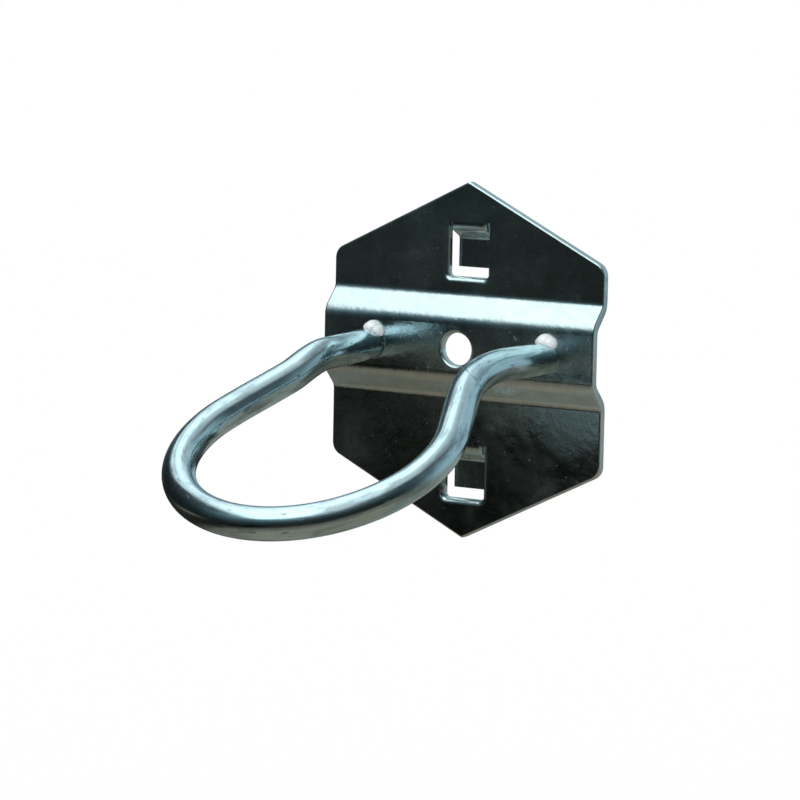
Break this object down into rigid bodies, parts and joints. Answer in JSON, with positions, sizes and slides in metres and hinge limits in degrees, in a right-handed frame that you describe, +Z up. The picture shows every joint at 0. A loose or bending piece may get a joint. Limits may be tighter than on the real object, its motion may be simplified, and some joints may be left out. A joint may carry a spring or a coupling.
{
  "type": "pegboard hook",
  "caption": "Tool hook for a perforated panel: a pressed steel back plate with hanging tabs carries a bent round rod whose loop slopes down to hold a tool.",
  "frame": {"origin": "midway between the hanging tabs, on the plane of the plate's back, where the panel's front face lies", "axes": "+X across the plate, +Y into the panel, +Z up; the loop reaches forward along -Y"},
  "size_m": [0.052, 0.0766, 0.0608],
  "materials": {
    "zinc_sheet": "bright zinc plated pressed sheet",
    "zinc_rod": "bright zinc plated drawn rod",
    "weld_metal": "lumpy weld bead, zinc plated"
  },
  "bodies": {
    "root": {"back_plate": "zinc_sheet", "hook_rod": "zinc_rod", "weld_left": "weld_metal", "weld_right": "weld_metal"}
  },
  "joints": []
}
